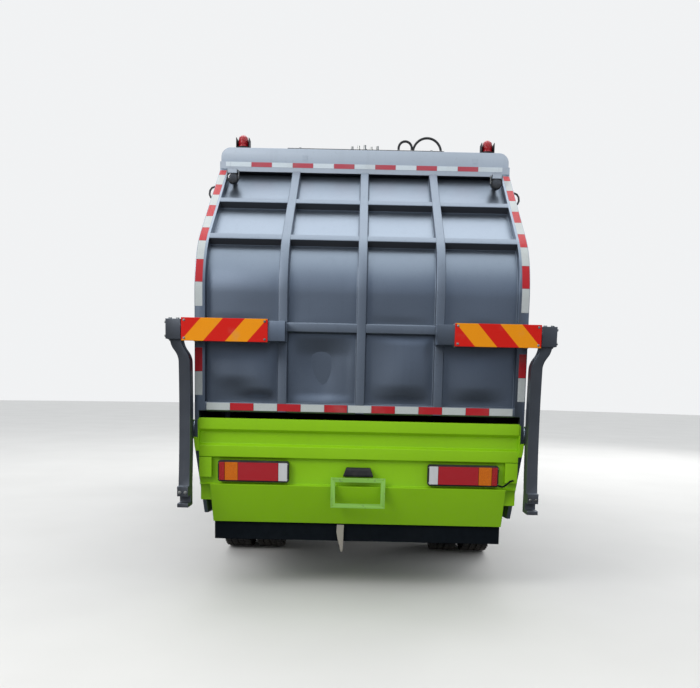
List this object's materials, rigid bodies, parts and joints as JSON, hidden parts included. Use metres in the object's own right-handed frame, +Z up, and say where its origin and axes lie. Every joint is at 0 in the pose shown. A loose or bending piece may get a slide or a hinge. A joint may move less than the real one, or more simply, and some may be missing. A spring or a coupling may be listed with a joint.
{
  "type": "rear-loading garbage truck",
  "caption": "Cab-over rear-loading garbage truck with a ribbed lifting tailgate, a tipping bucket, side lift arms and an ejector body.",
  "frame": {"origin": "on the ground under the middle of the whole vehicle", "axes": "+Y towards the cab, +Z up, +X to the vehicle's right"},
  "size_m": [2.555, 7.643, 3.437],
  "materials": {
    "slate_paint": "satin metallic",
    "green_paint": "gloss",
    "header_paint": "satin",
    "chassis_black": "matt",
    "cab_paint": "gloss",
    "cast": "rough",
    "tank": "satin",
    "rim_paint": "satin",
    "tyre": "matt",
    "rubber": "matt",
    "black_plastic": "matt",
    "lens": "gloss",
    "clear_lens": "gloss",
    "glass": "tinted",
    "seat_cloth": "woven",
    "board": "reflective sheet",
    "rod": "polished"
  },
  "bodies": {
    "chassis": {"frame_rails": "chassis_black", "engine_block": "cast", "rear_axle": "cast", "driveshaft": "cast", "front_axle": "cast", "leaf_springs": "chassis_black", "fuel_tank": "tank", "battery_box": "black_plastic", "air_tanks": "chassis_black", "silencer": "cast", "rear_mudguards": "black_plastic", "side_guards": "tank", "front_bumper": "cab_paint", "headlamps": "clear_lens", "body_box": "slate_paint"},
    "ejector": {"ejector_plate": "slate_paint"},
    "cab": {"cab_shell": "cab_paint", "windscreen": "glass", "grille": "black_plastic", "seats": "seat_cloth", "dashboard": "black_plastic", "steering_wheel": "black_plastic", "mirrors": "black_plastic"},
    "left_door_leaf": {"left_door": "cab_paint", "left_door_glass": "glass"},
    "right_door_leaf": {"right_door": "cab_paint", "right_door_glass": "glass"},
    "left_steering": {"left_knuckle": "cast"},
    "right_steering": {"right_knuckle": "cast"},
    "front_left_wheel": {"front_left_rim": "rim_paint", "front_left_tyre": "tyre"},
    "front_right_wheel": {"front_right_rim": "rim_paint", "front_right_tyre": "tyre"},
    "rear_left_wheels": {"rear_left_rim": "rim_paint", "rear_left_tyre": "tyre"},
    "rear_right_wheels": {"rear_right_rim": "rim_paint", "rear_right_tyre": "tyre"},
    "tailgate": {"tailgate_shell": "slate_paint", "rear_skin": "slate_paint", "header_beam": "header_paint", "lamp_housings": "black_plastic", "beacon_domes": "lens", "header_hoses": "rubber", "pivot_housings": "slate_paint", "marking_boards": "board"},
    "bucket_tray": {"bucket": "green_paint", "bucket_skirt": "rubber", "tail_lamps": "lens", "plate_frame": "green_paint", "plate_lamp": "black_plastic"},
    "lift_arm_pair": {"lift_arms": "slate_paint"},
    "lift_barrel_pair": {"lift_barrels": "slate_paint"},
    "lift_rod_pair": {"lift_rods": "rod"}
  },
  "joints": [
    {"name": "ejector_slide", "type": "slide", "parent": "chassis", "child": "ejector", "axis": [0, -1, 0], "range_m": [0, 3.6]},
    {"name": "cab_tilt", "type": "hinge", "parent": "chassis", "child": "cab", "pos_m": [0, 3.74, 0.725], "axis": [-1, 0, 0], "range_deg": [0, 45]},
    {"name": "left_door_hinge", "type": "hinge", "parent": "cab", "child": "left_door_leaf", "pos_m": [-1.106, 3.448, 1.7], "axis": [0, 0, -1], "range_deg": [0, 70]},
    {"name": "right_door_hinge", "type": "hinge", "parent": "cab", "child": "right_door_leaf", "pos_m": [1.106, 3.448, 1.7], "axis": [0, 0, 1], "range_deg": [0, 70]},
    {"name": "left_steer", "type": "hinge", "parent": "chassis", "child": "left_steering", "pos_m": [-0.73, 2.535, 0.48], "axis": [0, 0, 1], "range_deg": [-35, 35]},
    {"name": "right_steer", "type": "hinge", "parent": "chassis", "child": "right_steering", "pos_m": [0.73, 2.535, 0.48], "axis": [0, 0, 1], "range_deg": [-35, 35]},
    {"name": "front_left_spin", "type": "hinge", "parent": "left_steering", "child": "front_left_wheel", "pos_m": [-0.9, 2.535, 0.48], "axis": [1, 0, 0], "continuous": true},
    {"name": "front_right_spin", "type": "hinge", "parent": "right_steering", "child": "front_right_wheel", "pos_m": [0.9, 2.535, 0.48], "axis": [1, 0, 0], "continuous": true},
    {"name": "rear_left_spin", "type": "hinge", "parent": "chassis", "child": "rear_left_wheels", "pos_m": [-0.9075, -1.965, 0.48], "axis": [1, 0, 0], "continuous": true},
    {"name": "rear_right_spin", "type": "hinge", "parent": "chassis", "child": "rear_right_wheels", "pos_m": [0.9075, -1.965, 0.48], "axis": [1, 0, 0], "continuous": true},
    {"name": "tailgate_lift", "type": "hinge", "parent": "chassis", "child": "tailgate", "pos_m": [0, -2.475, 3.225], "axis": [-1, 0, 0], "range_deg": [0, 80]},
    {"name": "bucket_tip", "type": "hinge", "parent": "tailgate", "child": "bucket_tray", "pos_m": [0, -3.59, 1.15], "axis": [-1, 0, 0], "range_deg": [0, 75]},
    {"name": "arm_swing", "type": "hinge", "parent": "tailgate", "child": "lift_arm_pair", "pos_m": [0, -3.743, 1.815], "axis": [-1, 0, 0], "range_deg": [0, 90]},
    {"name": "barrel_turn", "type": "hinge", "parent": "chassis", "child": "lift_barrel_pair", "pos_m": [0, -1.335, 1.75], "axis": [-1, 0, 0], "range_deg": [0, 15.91]},
    {"name": "rod_slide", "type": "slide", "parent": "lift_barrel_pair", "child": "lift_rod_pair", "axis": [0, -0.8886, 0.4586], "range_m": [0, 0.8296]}
  ],
  "couplings": [
    {"joint": "right_steer", "follows": "left_steer", "ratio": 1},
    {"joint": "barrel_turn", "follows": "tailgate_lift", "ratio": 0.19874},
    {"joint": "rod_slide", "follows": "tailgate_lift", "m_per_rad": 0.5938}
  ]
}
